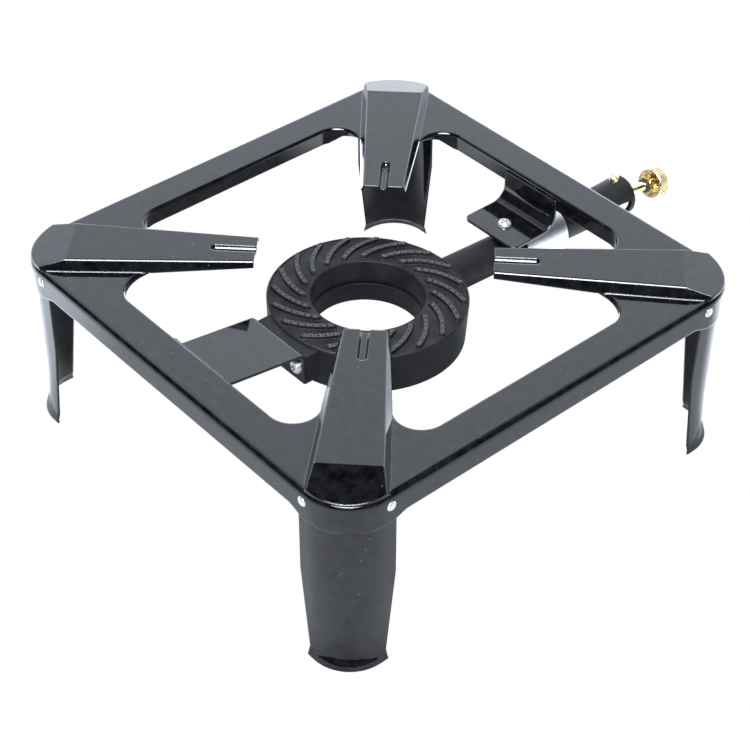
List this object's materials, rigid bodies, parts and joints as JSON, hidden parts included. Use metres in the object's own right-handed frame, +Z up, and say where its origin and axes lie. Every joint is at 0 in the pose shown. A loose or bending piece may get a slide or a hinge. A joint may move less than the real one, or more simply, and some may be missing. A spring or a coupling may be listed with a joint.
{
  "type": "stock pot range",
  "caption": "Free-standing square gas range: pressed frame with pot arms on bent sheet legs, cast ring burner hung below on brackets, mixer tube and brass gas inlet.",
  "frame": {"origin": "on the floor, below the middle of the whole object's bounding box", "axes": "+Z up, +Y from the front bracket towards the gas inlet, +X to the right when the front bracket is seen from the front"},
  "size_m": [0.4056, 0.5325, 0.1638],
  "materials": {
    "enamel": "gloss black enamel with fine pale specks",
    "zinc": "bright zinc plating",
    "casting": "matt charcoal paint on a sand casting",
    "galvanised": "bright galvanised sheet",
    "brass": "turned brass",
    "washer": "dark sealing washer",
    "seal": "flat sealing disc"
  },
  "bodies": {
    "range": {"top_frame": "enamel", "leg_front_right": "enamel", "leg_rear_right": "enamel", "leg_rear_left": "enamel", "leg_front_left": "enamel", "leg_rivets": "zinc", "front_bracket": "enamel", "rear_bracket": "enamel", "front_bracket_screws": "zinc", "rear_bracket_screw": "zinc", "burner_body": "casting", "burner_cap": "casting", "cap_screws": "zinc", "tube_sleeve": "galvanised", "inlet_stem": "brass", "gas_jet": "brass", "stem_washer": "washer", "inlet_hex": "brass", "inlet_nipple": "brass", "union_seal": "seal", "lock_screw": "brass"},
    "union_nut_body": {"union_nut": "brass"}
  },
  "joints": [
    {"name": "union_nut_spin", "type": "hinge", "parent": "range", "child": "union_nut_body", "pos_m": [0, 0.25937, 0.08572], "axis": [0, 0.9894, -0.1452], "continuous": true}
  ]
}
